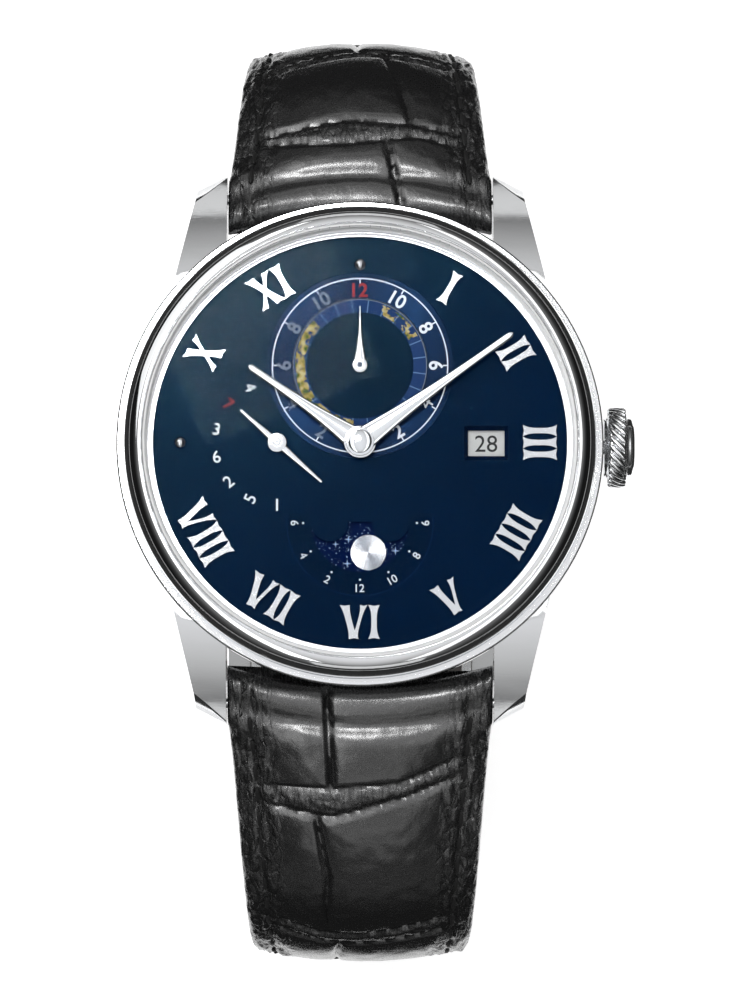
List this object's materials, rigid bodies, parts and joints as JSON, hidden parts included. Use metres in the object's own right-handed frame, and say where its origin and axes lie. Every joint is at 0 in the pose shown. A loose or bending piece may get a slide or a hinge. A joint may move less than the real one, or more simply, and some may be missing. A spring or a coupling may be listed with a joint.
{
  "type": "automatic wristwatch",
  "caption": "Round automatic wristwatch with world time, weekday, date and moon phase displays, a see-through back and a buckled leather strap.",
  "frame": {"origin": "on the plane that the buckled strap rests on, directly under the axis of the hands, at the middle of the fixed keeper's outer face", "axes": "+Z is the dial's normal, out of the crystal; +Y points to 12 o'clock; +X points to the crown at 3 o'clock"},
  "size_m": [0.0427, 0.079, 0.0541],
  "materials": {
    "case_steel": "satin",
    "polished_steel": "polished",
    "sapphire": "polished",
    "gasket_rubber": "matt",
    "gasket_nylon": "pale",
    "dial_blue": "lacquered",
    "scale_blue": "spun satin",
    "map_blue": "printed",
    "calendar_white": "matt",
    "moon_sky": "lacquered",
    "hand_steel": "polished",
    "plate_nickel": "grained",
    "wheel_brass": "satin",
    "train_steel": "satin",
    "ruby": "polished",
    "blued_steel": "blued",
    "strap_leather": "grained",
    "lining_leather": "matt"
  },
  "bodies": {
    "root": {"mid_case": "case_steel", "bezel": "polished_steel", "crystal": "sapphire", "crystal_gasket": "gasket_nylon", "flange_ring": "polished_steel", "caseback_ring": "case_steel", "caseback_crystal": "sapphire", "caseback_gasket": "gasket_rubber", "crown_tube": "case_steel", "movement_holder": "case_steel", "dial": "dial_blue", "hour_numerals": "hand_steel", "hour_balls": "hand_steel", "scale_ring_24h": "scale_blue", "date_window_frame": "dial_blue", "main_plate": "plate_nickel", "barrel_bridge": "plate_nickel", "train_bridge": "plate_nickel", "hairspring": "blued_steel", "balance_cock": "plate_nickel", "rotor_bearing": "train_steel", "movement_screws": "blued_steel", "jewels": "ruby", "strap_12_leather": "strap_leather", "strap_12_lining": "lining_leather", "strap_6_leather": "strap_leather", "strap_6_lining": "lining_leather", "lug_spring_bars": "train_steel", "buckle_bar": "train_steel", "fixed_keeper": "strap_leather"},
    "minute_hand": {"minute_hand": "hand_steel", "hand_cap": "hand_steel", "cannon_pinion": "train_steel"},
    "minute_wheel": {"minute_wheel": "wheel_brass"},
    "hour_hand": {"hour_hand": "hand_steel", "hour_wheel": "wheel_brass"},
    "world_hand": {"world_hand": "hand_steel"},
    "weekday_hand": {"weekday_hand": "hand_steel", "weekday_star": "wheel_brass"},
    "map_ring": {"map_ring": "map_blue"},
    "date_ring": {"date_ring": "calendar_white"},
    "moon_disc": {"moon_disc": "moon_sky", "moons": "hand_steel"},
    "escape_wheel": {"escape_wheel": "train_steel"},
    "fourth_wheel": {"fourth_wheel": "wheel_brass"},
    "third_wheel": {"third_wheel": "wheel_brass"},
    "center_wheel": {"center_wheel": "wheel_brass"},
    "barrel": {"barrel": "wheel_brass"},
    "pallet_fork": {"pallet_fork": "train_steel"},
    "balance_wheel": {"balance_wheel": "wheel_brass"},
    "winding_pinion": {"winding_pinion": "train_steel"},
    "crown": {"crown": "polished_steel", "winding_stem": "train_steel"},
    "crown_wheel": {"crown_wheel": "train_steel"},
    "ratchet_wheel": {"ratchet_wheel": "train_steel"},
    "rotor": {"rotor": "case_steel", "rotor_weight": "wheel_brass"},
    "buckle_frame": {"buckle_frame": "polished_steel"},
    "buckle_tongue": {"buckle_tongue": "polished_steel"},
    "free_keeper": {"free_keeper": "strap_leather"}
  },
  "joints": [
    {"name": "minute_turn", "type": "hinge", "parent": "root", "child": "minute_hand", "pos_m": [0, 0, 0.0516], "axis": [0, 0, -1], "continuous": true},
    {"name": "minute_wheel_turn", "type": "hinge", "parent": "root", "child": "minute_wheel", "pos_m": [0.00384, 0, 0.0492], "axis": [0, 0, -1], "continuous": true},
    {"name": "hour_turn", "type": "hinge", "parent": "root", "child": "hour_hand", "pos_m": [0, 0, 0.0513], "axis": [0, 0, -1], "continuous": true},
    {"name": "world_turn", "type": "hinge", "parent": "root", "child": "world_hand", "pos_m": [0, 0.0064, 0.0507], "axis": [0, 0, -1], "continuous": true},
    {"name": "map_turn", "type": "hinge", "parent": "root", "child": "map_ring", "pos_m": [0, 0.0064, 0.0503], "axis": [0, 0, -1], "continuous": true},
    {"name": "weekday_turn", "type": "hinge", "parent": "root", "child": "weekday_hand", "pos_m": [-0.0068, 0, 0.0507], "axis": [0, 0, -1], "continuous": true},
    {"name": "date_turn", "type": "hinge", "parent": "root", "child": "date_ring", "pos_m": [0, 0, 0.04965], "axis": [0, 0, -1], "continuous": true},
    {"name": "moon_turn", "type": "hinge", "parent": "root", "child": "moon_disc", "pos_m": [0, -0.0066, 0.0499], "axis": [0, 0, -1], "continuous": true},
    {"name": "escape_turn", "type": "hinge", "parent": "root", "child": "escape_wheel", "pos_m": [-0.0009, -0.007, 0.0464], "axis": [0, 0, -1], "continuous": true},
    {"name": "fourth_turn", "type": "hinge", "parent": "root", "child": "fourth_wheel", "pos_m": [-0.00507, -0.00627, 0.0458], "axis": [0, 0, -1], "continuous": true},
    {"name": "third_turn", "type": "hinge", "parent": "root", "child": "third_wheel", "pos_m": [-0.00507, -0.00185, 0.0462], "axis": [0, 0, -1], "continuous": true},
    {"name": "center_turn", "type": "hinge", "parent": "root", "child": "center_wheel", "pos_m": [0, 0, 0.047], "axis": [0, 0, -1], "continuous": true},
    {"name": "barrel_turn", "type": "hinge", "parent": "root", "child": "barrel", "pos_m": [0.00357, 0.00618, 0.0464], "axis": [0, 0, -1], "continuous": true},
    {"name": "pallet_swing", "type": "hinge", "parent": "root", "child": "pallet_fork", "pos_m": [0.00164, -0.007, 0.0464], "axis": [0, 0, 1], "range_deg": [-4, 4]},
    {"name": "balance_swing", "type": "hinge", "parent": "root", "child": "balance_wheel", "pos_m": [0.0063, -0.007, 0.046], "axis": [0, 0, 1], "range_deg": [-270, 270]},
    {"name": "crown_turn", "type": "hinge", "parent": "root", "child": "winding_pinion", "pos_m": [0.0096, 0, 0.04665], "axis": [1, 0, 0], "continuous": true},
    {"name": "crown_pull", "type": "slide", "parent": "winding_pinion", "child": "crown", "axis": [1, 0, 0], "range_m": [0, 0.0012]},
    {"name": "crown_wheel_turn", "type": "hinge", "parent": "root", "child": "crown_wheel", "pos_m": [0.00726, 0, 0.0446], "axis": [0, 0, 1], "continuous": true},
    {"name": "ratchet_turn", "type": "hinge", "parent": "root", "child": "ratchet_wheel", "pos_m": [0.00357, 0.00618, 0.0446], "axis": [0, 0, 1], "continuous": true},
    {"name": "rotor_turn", "type": "hinge", "parent": "root", "child": "rotor", "pos_m": [0, 0, 0.0441], "axis": [0, 0, 1], "continuous": true},
    {"name": "buckle_swing", "type": "hinge", "parent": "root", "child": "buckle_frame", "pos_m": [0, -0.0054, 0.0048], "axis": [1, 0, 0], "range_deg": [0, 3]},
    {"name": "tongue_swing", "type": "hinge", "parent": "buckle_frame", "child": "buckle_tongue", "pos_m": [0, -0.0054, 0.0048], "axis": [1, 0, 0], "range_deg": [0, 2.5]},
    {"name": "keeper_slide", "type": "slide", "parent": "root", "child": "free_keeper", "axis": [0, 1, 0], "range_m": [-0.0033, 0.002]}
  ],
  "couplings": [
    {"joint": "minute_wheel_turn", "follows": "minute_turn", "ratio": -0.33333},
    {"joint": "hour_turn", "follows": "minute_turn", "ratio": 0.083333},
    {"joint": "world_turn", "follows": "minute_turn", "ratio": 0.041667},
    {"joint": "escape_turn", "follows": "fourth_turn", "ratio": -10},
    {"joint": "third_turn", "follows": "fourth_turn", "ratio": -0.13333},
    {"joint": "center_turn", "follows": "fourth_turn", "ratio": 0.016667},
    {"joint": "barrel_turn", "follows": "fourth_turn", "ratio": -0.0027778},
    {"joint": "crown_wheel_turn", "follows": "crown_turn", "ratio": 0.5},
    {"joint": "ratchet_turn", "follows": "crown_turn", "ratio": -0.33333}
  ]
}
